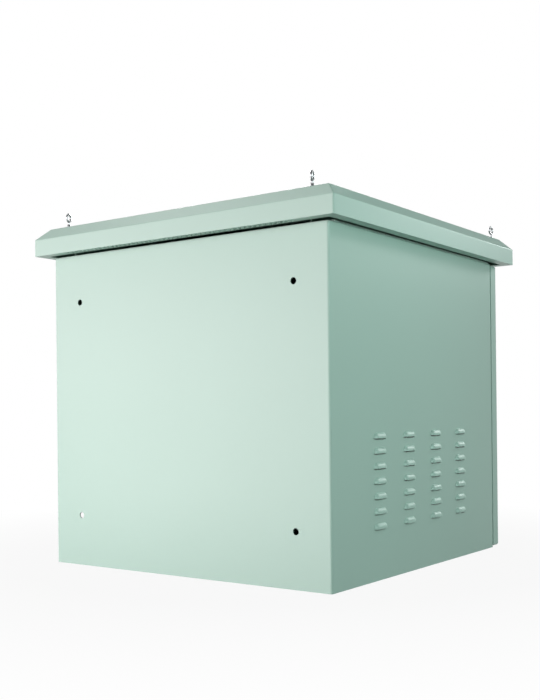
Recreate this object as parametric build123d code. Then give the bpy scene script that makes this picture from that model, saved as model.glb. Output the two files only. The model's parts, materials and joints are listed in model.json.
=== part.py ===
from build123d import *
import math
import os

# Outdoor wall-mount rack cabinet, in millimetres.
# +X is to the right seen from the front, +Y to the back, where the wall is, and +Z is up.
# The origin lies on the base plane, midway between the edges of the roof.

# Body sheets
BODY_W = 600.0
BODY_D = 600.0
BODY_H = 562.0
SHEET = 2.0
BEND_INNER_R = 1.5
RETURN_W = 26.0
PAN_FLANGE = 20.0
PANEL_GAP = 0.3
OVERRUN = 6.0

# Wall holes in the back
WALL_HOLE_R = 5.5
WALL_HOLE_SIDE = 65.0
WALL_PITCH_Z = 386.0
WALL_HOLE_Z = 90.0

# Louvres pressed into both sides
LOUVRE_ROWS = 7
LOUVRE_COLUMNS = 4
LOUVRE_PITCH_Z = 24.4
LOUVRE_END = 149.0
LOUVRE_FIRST_Z = 83.5
LOUVRE_L = 41.0
LOUVRE_H = 9.5
LOUVRE_DEPTH = 5.0
LOUVRE_SKIN = 1.2
LOUVRE_DROP = 1.5

# Cable port in the right side, with its rubber edging
PORT_W = 46.0
PORT_H = 34.0
PORT_R = 5.0
PORT_BACK = 62.0
PORT_Z = 80.0
TRIM_T = 2.5
TRIM_LIP = 4.0

# Door and its seal
DOOR_DEPTH = 28.0
DOOR_GAP = 1.5
DOOR_SHEET = 2.0
DOOR_BEND_INNER_R = 2.5
DOOR_FOOT_GAP = 2.0
DOOR_HEAD_GAP = 4.0
SEAL_SIDE = 34.0
SEAL_END = 23.0
SEAL_LIP = 16.0
SEAL_R = 7.0
GASKET_W = 10.0
STIFFENER_W = 70.0
STIFFENER_CROWN_W = 36.0
STIFFENER_DEPTH = 14.0
STIFFENER_T = 1.5
STIFFENER_END_GAP = 40.0

# Roof
ROOF_OVERHANG = 26.0
ROOF_SHEET = 1.5
ROOF_BEND_INNER_R = 1.5
ROOF_VENT_GAP = 3.0
SOFFIT_LIP_W = 19.0
FASCIA_H = 30.0
SLOPE_RISE = 21.0
SLOPE_RUN = 21.0
PERF_SIDE = 4.5
PERF_PITCH_X = 10.0
PERF_PITCH_Y = 6.5
PERF_COLUMNS = 49

# Lifting eyes and the bearers under the roof
EYE_REAR_SIDE = 32.0
EYE_REAR_INSET = 6.0
EYE_FRONT_SIDE = 7.5
EYE_FRONT_INSET = 6.0
EYE_REAR_TURN = 20.0
EYE_RING_R = 6.9
EYE_WIRE_R = 2.1
EYE_STEM_H = 18.0
EYE_STEM_R = 2.6
EYE_COLLAR_R = 6.0
EYE_COLLAR_H = 3.5
EYE_SHANK_R = 3.0
EYE_SHANK_END = 3.0
EYE_NUT_R = 5.8
EYE_NUT_H = 5.0
BEARER_W = 44.0
BEARER_T = 2.5
BEARER_END = 7.0
BEARER_FOOT_INSET = 14.0
BEARER_RISE = 26.0
BEARER_BOLT_SHARES = (0.2, 0.5, 0.8)

# Fasteners
BOLT_R = 3.0
BOLT_HEAD_R = 5.8
BOLT_HEAD_H = 4.0
BOLT_CLEAR = 0.2
BOLT_END_GAP = 0.5
SCREW_R = 2.0
SCREW_HEAD_R = 4.0
SCREW_HEAD_H = 2.4

# Hinges
HINGE_SHARES = (0.16, 0.84)
HINGE_INSET = 5.0
HINGE_STANDOFF = 16.0
HINGE_H = 60.0
HINGE_T = 2.0
HINGE_PIN_R = 2.5
HINGE_KNUCKLE_R = 4.5
HINGE_BODY_LEAF_W = 14.0
HINGE_DOOR_LEAF_W = 18.0
HINGE_CLEAR = 0.1
HINGE_GAP = 0.5
HINGE_PIN_HEAD_H = 2.0
NOTCH_STUB = 6.0
NOTCH_CLEAR = 3.0

# Quarter-turn latches
LATCH_SHARES = (0.25, 0.75)
LATCH_SETBACK = 20.0
LATCH_ROSE_R = 14.0
LATCH_ROSE_H = 4.0
LATCH_ROSE_EDGE = 1.0
LATCH_BARREL_R = 10.0
LATCH_NUT_R = 14.5
LATCH_NUT_H = 5.0
PLUG_HEAD_R = 8.5
PLUG_HEAD_H = 3.0
PLUG_R = 6.5
PLUG_RECESS = 0.5
PLUG_BORE_DEPTH = 10.0
KEYWAY_L = 8.0
KEYWAY_W = 1.6
KEYWAY_DEPTH = 9.0
TURN_CLEAR = 0.1
CAM_W = 18.0
CAM_T = 3.0
CAM_REACH = 34.0
CAM_CLEAR = 1.0
BARREL_GAP = 0.5
CAM_TENON = 8.0

# Rack posts and depth rails
RACK_UNITS = 9
RACK_UNIT = 44.45
RACK_HOLE_FIRST = 6.35
RACK_HOLE_STEP = 15.875
RACK_HOLES_PER_UNIT = 3
RACK_HOLE_SIDE = 9.5
RACK_HOLE_EDGE = 7.15
POST_SIDE = 74.6
POST_SETBACK = 56.0
POST_BACK_SETBACK = 84.0
POST_FACE_W = 22.0
POST_D = 30.0
POST_T = 2.0
RAIL_END = 20.0
RAIL_LEG = 40.0
RAIL_FOOT = 34.0
RAIL_T = 2.0
RAIL_SLOT_L = 60.0
RAIL_BOLT_SHARES = (0.1, 0.9)

# Fans
FAN_PITCH = 200.0
FAN_BACK = 260.0
FAN_SIZE = 119.0
FAN_T = 25.4
FAN_CORNER_R = 6.0
FAN_DUCT_R = 57.0
FAN_HOLE_PITCH = 104.8
FAN_STRUTS = 4
FAN_STRUT_W = 5.0
FAN_STRUT_T = 3.0
FAN_STATOR_R = 19.0
FAN_STATOR_T = 4.0
FAN_TUBE_R = 4.5
FAN_TUBE_H = 15.0
FAN_SHAFT_R = 2.0
FAN_SHAFT_CLEAR = 0.05
FAN_HUB_R = 20.0
FAN_HUB_WALL = 2.0
FAN_HUB_GAP = 1.2
FAN_BLADES = 7
FAN_BLADE_ROOT_CHORD = 20.0
FAN_BLADE_TIP_CHORD = 32.0
FAN_BLADE_CAMBER = 2.4
FAN_BLADE_T = 1.6
FAN_BLADE_ROOT_PITCH = 48.0
FAN_BLADE_TIP_PITCH = 26.0
FAN_TIP_GAP = 2.0

# Filters behind the louvres
FILTER_MARGIN = 18.0
FILTER_D = 10.0
FILTER_SHEET = 1.2
FILTER_FLANGE = 14.0
FILTER_LIP = 10.0
FILTER_R = 3.0
FILTER_STUD_SHARES = (0.15, 0.85)
STUD_R = 2.5
STUD_L = 8.0
STUD_NUT_R = 4.6
STUD_NUT_H = 4.0

# Gland plate and its blind grommets
GLAND_W = 250.0
GLAND_D = 116.0
GLAND_T = 2.0
GLAND_LAP = 15.0
GLAND_BACK = 150.0
GLAND_R = 5.0
GROMMETS = 3
GROMMET_PITCH = 70.0
GROMMET_HOLE_R = 20.0
GROMMET_LIP_R = 25.0
GROMMET_LIP_T = 1.6
GROMMET_TIP_R = 9.0
GROMMET_H = 14.0
GROMMET_WALL = 1.6

# Earth stud
EARTH_SIDE = 120.0
EARTH_FRONT = 76.0
EARTH_R = 4.0
EARTH_L = 25.0
EARTH_NUT_R = 7.5
EARTH_NUT_H = 6.5
EARTH_NUT_GAP = 3.0

# Places worked out from the sizes above
HALF_W = BODY_W / 2
Y_BACK = (BODY_D + DOOR_DEPTH) / 2
Y_FRONT = Y_BACK - BODY_D
Y_FACE = Y_FRONT - DOOR_DEPTH
Y_MID = (Y_BACK + Y_FRONT) / 2
WALL_IN = HALF_W - SHEET
WALL_HOLE_X = HALF_W - WALL_HOLE_SIDE
FRAME_Y0 = Y_FRONT + SHEET + PANEL_GAP
FRAME_Y1 = FRAME_Y0 + SHEET
PAN_Y0 = FRAME_Y1 + PANEL_GAP
PAN_Y1 = Y_BACK - SHEET - PANEL_GAP
FLOOR_Z = SHEET
CEILING_Z = BODY_H - SHEET
SOFFIT_Z = BODY_H + ROOF_VENT_GAP
ROOF_W = BODY_W + 2 * ROOF_OVERHANG
ROOF_D = BODY_D + DOOR_DEPTH + 2 * ROOF_OVERHANG
ROOF_Z = SOFFIT_Z + FASCIA_H + SLOPE_RISE
ROOF_IN_Z = ROOF_Z - ROOF_SHEET
DOOR_Z0 = DOOR_FOOT_GAP
DOOR_Z1 = SOFFIT_Z - DOOR_HEAD_GAP
DOOR_H = DOOR_Z1 - DOOR_Z0
DOOR_IN_Y = Y_FACE + DOOR_SHEET
DOOR_BACK_Y = Y_FRONT - DOOR_GAP
SEAL_W = BODY_W - 2 * SEAL_SIDE
SEAL_H = DOOR_H - 2 * SEAL_END
SEAL_Z = (DOOR_Z0 + DOOR_Z1) / 2
SEAL_Y = Y_FRONT - SEAL_LIP
PIN_X = HALF_W - HINGE_INSET
PIN_Y = Y_FRONT - HINGE_STANDOFF
LATCH_X = LATCH_SETBACK + SHEET - SEAL_W / 2
CAM_Y = FRAME_Y1 + CAM_CLEAR
ROSE_Y = Y_FACE - LATCH_ROSE_H
LOUVRE_Y = Y_BACK - LOUVRE_END
LOUVRE_SPAN_Y = BODY_D - 2 * LOUVRE_END
LOUVRE_PITCH_Y = LOUVRE_SPAN_Y / (LOUVRE_COLUMNS - 1)
LOUVRE_SPAN_Z = (LOUVRE_ROWS - 1) * LOUVRE_PITCH_Z
FILTER_Y = LOUVRE_Y - LOUVRE_SPAN_Y / 2
FILTER_Z = LOUVRE_FIRST_Z + (LOUVRE_SPAN_Z + LOUVRE_H) / 2
FILTER_W = LOUVRE_SPAN_Y + LOUVRE_L + 2 * FILTER_MARGIN
FILTER_H = LOUVRE_SPAN_Z + LOUVRE_H + 2 * FILTER_MARGIN
PORT_Y = Y_BACK - PORT_BACK
POST_X0 = HALF_W - POST_SIDE
POST_X1 = POST_X0 + POST_FACE_W
RACK_HOLE_X = POST_X0 + RACK_HOLE_EDGE
FRONT_POST_Y = Y_FRONT + POST_SETBACK
REAR_POST_Y = Y_BACK - POST_BACK_SETBACK
RACK_Z = (BODY_H - RACK_UNITS * RACK_UNIT) / 2
RAIL_X0 = POST_X1 + PANEL_GAP
RAIL_X1 = RAIL_X0 + RAIL_T
RAIL_Y = (FRONT_POST_Y + REAR_POST_Y) / 2
RAIL_L = REAR_POST_Y - FRONT_POST_Y + 2 * RAIL_END
FAN_X = FAN_PITCH / 2
FAN_Y = Y_BACK - FAN_BACK
FAN_Z = CEILING_Z - FAN_T
GLAND_Y = Y_BACK - GLAND_BACK
EYE_REAR_X = HALF_W - EYE_REAR_SIDE
EYE_REAR_Y = Y_BACK - EYE_REAR_INSET
EYE_FRONT_X = HALF_W - EYE_FRONT_SIDE
EYE_FRONT_Y = Y_FACE + EYE_FRONT_INSET
BEARER_X = (EYE_REAR_X + EYE_FRONT_X) / 2
BEARER_Y0 = EYE_FRONT_Y - BEARER_END
BEARER_Y1 = EYE_REAR_Y + BEARER_END
EARTH_X = HALF_W - EARTH_SIDE
EARTH_Y = Y_FRONT + EARTH_FRONT
FULL_TURN = 360.0
MIRROR_X = Plane.YZ
MIRROR_Z = Plane.XY.offset(BODY_H / 2)


# Shapes used by many pieces

def block(x_span, y_span, z_span):
    """A box between two places along each axis."""
    middle = [(low + high) / 2 for low, high in (x_span, y_span, z_span)]
    size = [high - low for low, high in (x_span, y_span, z_span)]
    return Pos(*middle) * Box(*size)


def rod_x(radius, x_span, y, z):
    return Pos(sum(x_span) / 2, y, z) * Rot(0, 90, 0) * Cylinder(radius, x_span[1] - x_span[0])


def rod_y(radius, x, y_span, z):
    return Pos(x, sum(y_span) / 2, z) * Rot(90, 0, 0) * Cylinder(radius, y_span[1] - y_span[0])


def rod_z(radius, x, y, z_span):
    return Pos(x, y, sum(z_span) / 2) * Cylinder(radius, z_span[1] - z_span[0])


def plate_x(width, height, radius, x_span, y, z):
    """A rounded plate that lies in YZ, between two places along X."""
    plane = Plane(origin=(x_span[0], y, z), x_dir=(0, 1, 0), z_dir=(1, 0, 0))
    return extrude(plane * RectangleRounded(width, height, radius), x_span[1] - x_span[0])


def plate_y(width, height, radius, x, y_span, z):
    """A rounded plate that lies in XZ, between two places along Y."""
    plane = Plane(origin=(x, y_span[0], z), x_dir=(1, 0, 0), z_dir=(0, 1, 0))
    return extrude(plane * RectangleRounded(width, height, radius), y_span[1] - y_span[0])


def plate_z(width, depth, radius, x, y, z_span):
    """A rounded plate that lies in XY, between two places along Z."""
    plane = Plane(origin=(x, y, z_span[0]))
    return extrude(plane * RectangleRounded(width, depth, radius), z_span[1] - z_span[0])


def hexagon_z(radius, x, y, z_span):
    plane = Plane(origin=(x, y, z_span[0]))
    return extrude(plane * RegularPolygon(radius, 6), z_span[1] - z_span[0])


def hexagon_y(radius, x, y_span, z):
    plane = Plane(origin=(x, y_span[0], z), x_dir=(1, 0, 0), z_dir=(0, 1, 0))
    return extrude(plane * RegularPolygon(radius, 6), y_span[1] - y_span[0])


def hexagon_x(radius, x_span, y, z):
    plane = Plane(origin=(x_span[0], y, z), x_dir=(0, 1, 0), z_dir=(1, 0, 0))
    return extrude(plane * RegularPolygon(radius, 6), x_span[1] - x_span[0])


def both_sides(shapes):
    """The shapes of the right side and their mirror images on the left."""
    right = list(shapes)
    return right + [mirror(shape, about=MIRROR_X) for shape in right]


def floor_and_ceiling(shapes):
    """The shapes at the floor and their mirror images at the ceiling."""
    low = list(shapes)
    return low + [mirror(shape, about=MIRROR_Z) for shape in low]


def group(shapes):
    return Compound(children=list(shapes))


# Places that several pieces share

def wall_hole_places():
    z_places = (WALL_HOLE_Z, WALL_HOLE_Z + WALL_PITCH_Z)
    return [(side * WALL_HOLE_X, z) for side in (-1, 1) for z in z_places]


def hinge_heights():
    return [DOOR_Z0 + share * DOOR_H for share in HINGE_SHARES]


def latch_heights():
    return [DOOR_Z0 + share * DOOR_H for share in LATCH_SHARES]


def eye_places():
    """Place and turn of each lifting eye on the right side."""
    return [(EYE_REAR_X, EYE_REAR_Y, EYE_REAR_TURN), (EYE_FRONT_X, EYE_FRONT_Y, 0)]


def bearer_bolt_rows():
    return [BEARER_Y0 + share * (BEARER_Y1 - BEARER_Y0) for share in BEARER_BOLT_SHARES]


def rail_bolt_places():
    foot_x = RAIL_X1 + (RAIL_FOOT - RAIL_T) / 2
    return [(foot_x, RAIL_Y + (share - 0.5) * RAIL_L) for share in RAIL_BOLT_SHARES]


def post_bolt_places():
    """Y of the bolt that holds the web of the front post and of the rear post."""
    web_mid = (POST_T + POST_D) / 2
    return [FRONT_POST_Y + web_mid, REAR_POST_Y - web_mid]


def fan_places():
    return {"left": -FAN_X, "right": FAN_X}


def fan_screw_places(x):
    reach = FAN_HOLE_PITCH / 2
    return [(x + i * reach, FAN_Y + j * reach) for i in (-1, 1) for j in (-1, 1)]


def filter_stud_places():
    y_places = [FILTER_Y + side * (FILTER_W + FILTER_FLANGE) / 2 for side in (-1, 1)]
    z_places = [FILTER_Z + (share - 0.5) * FILTER_H for share in FILTER_STUD_SHARES]
    return [(y, z) for y in y_places for z in z_places]


def gland_screw_places():
    x_reach = (GLAND_W - GLAND_LAP) / 2
    y_reach = (GLAND_D - GLAND_LAP) / 2
    return [(i * x_reach, GLAND_Y + j * y_reach) for i in (-1, 1) for j in (-1, 1)]


def grommet_places():
    return [(i - (GROMMETS - 1) / 2) * GROMMET_PITCH for i in range(GROMMETS)]


# Body

def louvre_places():
    return [
        (LOUVRE_Y - column * LOUVRE_PITCH_Y, LOUVRE_FIRST_Z + row * LOUVRE_PITCH_Z)
        for column in range(LOUVRE_COLUMNS)
        for row in range(LOUVRE_ROWS)
    ]


def louvre_capsule(skin):
    """A bar with ball ends along Y, sunk in the wall so far that its crown is the louvre less the skin."""
    form_r = (LOUVRE_H**2 + LOUVRE_DEPTH**2) / (2 * LOUVRE_DEPTH)
    axis_x = HALF_W + LOUVRE_DEPTH - form_r
    radius = form_r - skin
    half = LOUVRE_L / 2 - LOUVRE_H
    outline = [
        Line((-half - radius, 0), (half + radius, 0)),
        CenterArc((half, 0), radius, 0, 90),
        Line((half, radius), (-half, radius)),
        CenterArc((-half, 0), radius, 90, 90),
    ]
    bar = revolve(make_face(outline), Axis.X)
    return Pos(axis_x, 0, 0) * Rot(0, 0, 90) * bar


def louvre_band(low_x, low_z):
    """The space outside one place along X and above one height, as large as a louvre."""
    reach = LOUVRE_L / 2 + OVERRUN
    return block((low_x, HALF_W + LOUVRE_DEPTH + OVERRUN), (-reach, reach), (low_z, LOUVRE_H + OVERRUN))


def louvre_hood():
    """The pressed hood of one louvre on the right side, with its foot at z = 0."""
    return louvre_capsule(0) & louvre_band(HALF_W - SHEET / 2, 0)


def louvre_void():
    """The air way of one louvre: through the wall into the hood, and open downwards below its lip."""
    return louvre_capsule(LOUVRE_SKIN) & louvre_band(WALL_IN - OVERRUN, -LOUVRE_DROP)


def body_wrap():
    outer_r = BEND_INNER_R + SHEET
    wrap = plate_z(BODY_W, BODY_D, outer_r, 0, Y_MID, (0, BODY_H))
    inside = plate_z(
        BODY_W - 2 * SHEET, BODY_D - 2 * SHEET, BEND_INNER_R, 0, Y_MID, (-OVERRUN, BODY_H + OVERRUN)
    )
    opening_x = HALF_W - RETURN_W
    opening = block(
        (-opening_x, opening_x), (Y_FRONT - OVERRUN, Y_FRONT + SHEET + OVERRUN), (-OVERRUN, BODY_H + OVERRUN)
    )
    wrap = wrap - [inside, opening]
    hood = louvre_hood()
    void = louvre_void()
    places = [Pos(0, y, z) for y, z in louvre_places()]
    wrap = wrap + both_sides(place * hood for place in places)
    cuts = both_sides(place * void for place in places)
    for x, z in wall_hole_places():
        cuts.append(rod_y(WALL_HOLE_R, x, (Y_BACK - SHEET - OVERRUN, Y_BACK + OVERRUN), z))
    cuts.append(plate_x(PORT_W, PORT_H, PORT_R, (WALL_IN - OVERRUN, HALF_W + OVERRUN), PORT_Y, PORT_Z))
    return wrap - cuts


def pan():
    """A folded tray that fits inside the wrap, with its sheet on the base plane and its flanges up."""
    width = 2 * (WALL_IN - PANEL_GAP)
    depth = PAN_Y1 - PAN_Y0
    middle = (PAN_Y0 + PAN_Y1) / 2
    tray = plate_z(width, depth, BEND_INNER_R + SHEET, 0, middle, (0, PAN_FLANGE))
    hollow = plate_z(
        width - 2 * SHEET, depth - 2 * SHEET, BEND_INNER_R, 0, middle, (SHEET, PAN_FLANGE + OVERRUN)
    )
    return tray - hollow


def rail_bolt_holes():
    span = (-OVERRUN, FLOOR_Z + RAIL_T + OVERRUN)
    return both_sides(rod_z(BOLT_R + BOLT_CLEAR, x, y, span) for x, y in rail_bolt_places())


def floor_pan():
    window = (GLAND_W - 2 * GLAND_LAP, GLAND_D - 2 * GLAND_LAP)
    cuts = rail_bolt_holes()
    cuts.append(plate_z(*window, GLAND_R, 0, GLAND_Y, (-OVERRUN, FLOOR_Z + OVERRUN)))
    for x, y in gland_screw_places():
        cuts.append(rod_z(SCREW_R + BOLT_CLEAR, x, y, (-OVERRUN, FLOOR_Z + OVERRUN)))
    return pan() - cuts


def top_panel():
    panel = mirror(pan(), about=MIRROR_Z)
    span = (CEILING_Z - OVERRUN, BODY_H + OVERRUN)
    cuts = [mirror(hole, about=MIRROR_Z) for hole in rail_bolt_holes()]
    cuts += both_sides(rod_z(BOLT_R + BOLT_CLEAR, BEARER_X, y, span) for y in bearer_bolt_rows())
    for x in fan_places().values():
        cuts.append(rod_z(FAN_DUCT_R, x, FAN_Y, span))
        cuts += [rod_z(SCREW_R + BOLT_CLEAR, *place, span) for place in fan_screw_places(x)]
    return panel - cuts


def seal_ring(outset, inset, y_span):
    """A rounded ring round the door opening, reaching out and in from the outer face of the seal lip."""
    outer = plate_y(SEAL_W + 2 * outset, SEAL_H + 2 * outset, SEAL_R + outset, 0, y_span, SEAL_Z)
    hole_span = (y_span[0] - OVERRUN, y_span[1] + OVERRUN)
    return outer - plate_y(SEAL_W - 2 * inset, SEAL_H - 2 * inset, SEAL_R - inset, 0, hole_span, SEAL_Z)


def door_frame():
    side = WALL_IN - BEND_INNER_R
    sheet = block((-side, side), (FRAME_Y0, FRAME_Y1), (0, BODY_H))
    span = (FRAME_Y0 - OVERRUN, FRAME_Y1 + OVERRUN)
    window = plate_y(SEAL_W - 2 * SHEET, SEAL_H - 2 * SHEET, SEAL_R - SHEET, 0, span, SEAL_Z)
    return (sheet - window) + seal_ring(0, SHEET, (SEAL_Y, FRAME_Y1))


def side_port_trim():
    span = (WALL_IN - TRIM_T, HALF_W + TRIM_T)
    edging = plate_x(PORT_W + 2 * TRIM_LIP, PORT_H + 2 * TRIM_LIP, PORT_R + TRIM_LIP, span, PORT_Y, PORT_Z)
    sheet = plate_x(
        PORT_W + 2 * OVERRUN, PORT_H + 2 * OVERRUN, PORT_R + OVERRUN, (WALL_IN, HALF_W), PORT_Y, PORT_Z
    )
    neck = PORT_R - PANEL_GAP
    sheet = sheet - plate_x(
        PORT_W - 2 * PANEL_GAP, PORT_H - 2 * PANEL_GAP, neck, (WALL_IN, HALF_W), PORT_Y, PORT_Z
    )
    hole_span = (WALL_IN - OVERRUN, HALF_W + OVERRUN)
    hole = plate_x(PORT_W - 2 * TRIM_T, PORT_H - 2 * TRIM_T, PORT_R - TRIM_T, hole_span, PORT_Y, PORT_Z)
    return edging - [sheet, hole]


# Roof

def roof_form(width, depth, foot_z, fascia_z, top_z, run, radius):
    """The roof's closed outline: upright fascia, sloped edges and a flat top, with rounded bends."""
    low = extrude(Plane(origin=(0, 0, foot_z)) * Rectangle(width, depth), fascia_z - foot_z)
    slope = loft(
        [
            Plane(origin=(0, 0, fascia_z)) * Rectangle(width, depth),
            Plane(origin=(0, 0, top_z)) * Rectangle(width - 2 * run, depth - 2 * run),
        ],
        ruled=True,
    )
    form = low + slope
    foot = form.faces().sort_by(Axis.Z)[0]
    return fillet(form.edges() - foot.edges(), radius)


def roof_cap():
    fascia_z = SOFFIT_Z + FASCIA_H
    slope = math.atan2(SLOPE_RISE, SLOPE_RUN)
    fascia_drop = ROOF_SHEET * math.tan((math.pi / 2 - slope) / 2)
    top_inset = ROOF_SHEET * math.tan(slope / 2)
    run_in = SLOPE_RUN + top_inset - ROOF_SHEET
    outer = roof_form(
        ROOF_W, ROOF_D, SOFFIT_Z, fascia_z, ROOF_Z, SLOPE_RUN, ROOF_BEND_INNER_R + ROOF_SHEET
    )
    inner = roof_form(
        ROOF_W - 2 * ROOF_SHEET,
        ROOF_D - 2 * ROOF_SHEET,
        SOFFIT_Z + ROOF_SHEET,
        fascia_z - fascia_drop,
        ROOF_IN_Z,
        run_in,
        ROOF_BEND_INNER_R,
    )
    mouth_x = ROOF_W / 2 - SOFFIT_LIP_W
    mouth_y = ROOF_D / 2 - SOFFIT_LIP_W
    mouth = block(
        (-mouth_x, mouth_x), (-mouth_y, mouth_y), (SOFFIT_Z - OVERRUN, SOFFIT_Z + ROOF_SHEET + OVERRUN)
    )
    cuts = [inner, mouth] + soffit_holes()
    eye_span = (ROOF_IN_Z - OVERRUN, ROOF_Z + OVERRUN)
    cuts += both_sides(rod_z(EYE_SHANK_R + BOLT_CLEAR, x, y, eye_span) for x, y, _ in eye_places())
    return outer - cuts


def soffit_holes():
    """Two staggered rows of square holes in the soffit lip along the back."""
    lip_mid = ROOF_D / 2 - (SOFFIT_LIP_W + ROOF_SHEET) / 2
    hole = Box(PERF_SIDE, PERF_SIDE, ROOF_SHEET + 2 * OVERRUN)
    holes = []
    for row in (-1, 1):
        shift = row * PERF_PITCH_X / 4 - (PERF_COLUMNS - 1) / 2 * PERF_PITCH_X
        for column in range(PERF_COLUMNS):
            x = shift + column * PERF_PITCH_X
            holes.append(Pos(x, lip_mid + row * PERF_PITCH_Y / 2, SOFFIT_Z) * hole)
    return holes


def roof_bearer():
    """The channel under the right edge of the roof, with its open side out and its ends cut up."""
    x_span = (BEARER_X - BEARER_W / 2, BEARER_X + BEARER_W / 2)
    y_span = (BEARER_Y0, BEARER_Y1)
    bearer = block(x_span, y_span, (BODY_H, ROOF_IN_Z))
    hollow = block(
        (x_span[0] + BEARER_T, x_span[1] + OVERRUN),
        (BEARER_Y0 - OVERRUN, BEARER_Y1 + OVERRUN),
        (BODY_H + BEARER_T, ROOF_IN_Z - BEARER_T),
    )
    cuts = [hollow]
    front_end = (BEARER_Y0 - OVERRUN, Y_FRONT + BEARER_FOOT_INSET)
    back_end = (Y_BACK - BEARER_FOOT_INSET, BEARER_Y1 + OVERRUN)
    for end in (front_end, back_end):
        across = (x_span[0] - OVERRUN, x_span[1] + OVERRUN)
        cuts.append(block(across, end, (BODY_H - OVERRUN, BODY_H + BEARER_RISE)))
    for x, y, _ in eye_places():
        cuts.append(rod_z(EYE_SHANK_R + BOLT_CLEAR, x, y, (ROOF_IN_Z - BEARER_T - OVERRUN, ROOF_Z)))
    for y in bearer_bolt_rows():
        cuts.append(rod_z(BOLT_R + BOLT_CLEAR, BEARER_X, y, (BODY_H - OVERRUN, BODY_H + BEARER_T + OVERRUN)))
    return bearer - cuts


def bearer_bolts():
    seat = BODY_H + BEARER_T
    bolts = []
    for y in bearer_bolt_rows():
        head = hexagon_z(BOLT_HEAD_R, BEARER_X, y, (seat, seat + BOLT_HEAD_H))
        bolts.append(head + rod_z(BOLT_R, BEARER_X, y, (CEILING_Z + BOLT_END_GAP, seat)))
    return group(both_sides(bolts))


def lifting_eye(x, y, turn):
    ring_z = ROOF_Z + EYE_STEM_H
    shank_z = ROOF_IN_Z - BEARER_T - EYE_NUT_H - EYE_SHANK_END
    ring = Pos(x, y, ring_z) * Rot(0, 0, turn) * Rot(0, 90, 0) * Torus(EYE_RING_R, EYE_WIRE_R)
    stem = rod_z(EYE_STEM_R, x, y, (ROOF_Z, ring_z - EYE_RING_R))
    collar = rod_z(EYE_COLLAR_R, x, y, (ROOF_Z, ROOF_Z + EYE_COLLAR_H))
    return ring + [stem, collar, rod_z(EYE_SHANK_R, x, y, (shank_z, ROOF_Z))]


def lifting_eyes():
    right = [lifting_eye(x, y, turn) for x, y, turn in eye_places()]
    left = [lifting_eye(-x, y, turn) for x, y, turn in eye_places()]
    return group(right + left)


def lifting_eye_nuts():
    seat = ROOF_IN_Z - BEARER_T
    nuts = []
    for x, y, _ in eye_places():
        nut = hexagon_z(EYE_NUT_R, x, y, (seat - EYE_NUT_H, seat))
        nuts.append(nut - rod_z(EYE_SHANK_R + BOLT_CLEAR, x, y, (seat - EYE_NUT_H - OVERRUN, seat + OVERRUN)))
    return group(both_sides(nuts))


# Door

def door_form(inset, back_y, radius):
    """The door's closed outline, drawn in by the inset on every side but the back, with rounded bends."""
    form = block(
        (inset - HALF_W, HALF_W - inset), (Y_FACE + inset, back_y), (DOOR_Z0 + inset, DOOR_Z1 - inset)
    )
    back = form.faces().sort_by(Axis.Y)[-1]
    return fillet(form.edges() - back.edges(), radius)


def door():
    pan_form = door_form(0, DOOR_BACK_Y, DOOR_BEND_INNER_R + DOOR_SHEET)
    cuts = [door_form(DOOR_SHEET, DOOR_BACK_Y + OVERRUN, DOOR_BEND_INNER_R)]
    reach = HINGE_H / 2 + NOTCH_CLEAR
    for z in hinge_heights():
        cuts.append(
            block(
                (HALF_W - DOOR_SHEET - OVERRUN, HALF_W + OVERRUN),
                (Y_FACE + NOTCH_STUB, DOOR_BACK_Y + OVERRUN),
                (z - reach, z + reach),
            )
        )
    for z in latch_heights():
        cuts.append(rod_y(LATCH_BARREL_R + BOLT_CLEAR, LATCH_X, (Y_FACE - OVERRUN, DOOR_IN_Y + OVERRUN), z))
    return pan_form - cuts


def door_gasket():
    outset = (GASKET_W - SHEET) / 2
    return seal_ring(outset, outset + SHEET, (DOOR_IN_Y, SEAL_Y - PANEL_GAP))


def door_stiffener():
    """A hat section up the middle of the door's inner face."""
    z_span = (SEAL_Z - SEAL_H / 2 + STIFFENER_END_GAP, SEAL_Z + SEAL_H / 2 - STIFFENER_END_GAP)
    crown_x = STIFFENER_CROWN_W / 2
    brim_x = STIFFENER_W / 2
    crown_y = DOOR_IN_Y + STIFFENER_DEPTH
    crown = block((-crown_x, crown_x), (DOOR_IN_Y, crown_y), z_span)
    brim = block((-brim_x, brim_x), (DOOR_IN_Y, DOOR_IN_Y + STIFFENER_T), z_span)
    hollow_x = crown_x - STIFFENER_T
    hollow = block(
        (-hollow_x, hollow_x),
        (DOOR_IN_Y - OVERRUN, crown_y - STIFFENER_T),
        (z_span[0] - OVERRUN, z_span[1] + OVERRUN),
    )
    return crown + brim - hollow


# Hinges

def knuckle_spans(z):
    """The lower, middle and upper thirds of a hinge, with a gap on both sides of the middle one."""
    foot = z - HINGE_H / 2
    third = HINGE_H / 3
    return [
        (foot, foot + third),
        (foot + third + HINGE_GAP, foot + 2 * third - HINGE_GAP),
        (foot + 2 * third, foot + HINGE_H),
    ]


def pin_bore(z):
    return rod_z(HINGE_PIN_R + HINGE_CLEAR, PIN_X, PIN_Y, (z - HINGE_H, z + HINGE_H))


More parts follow.
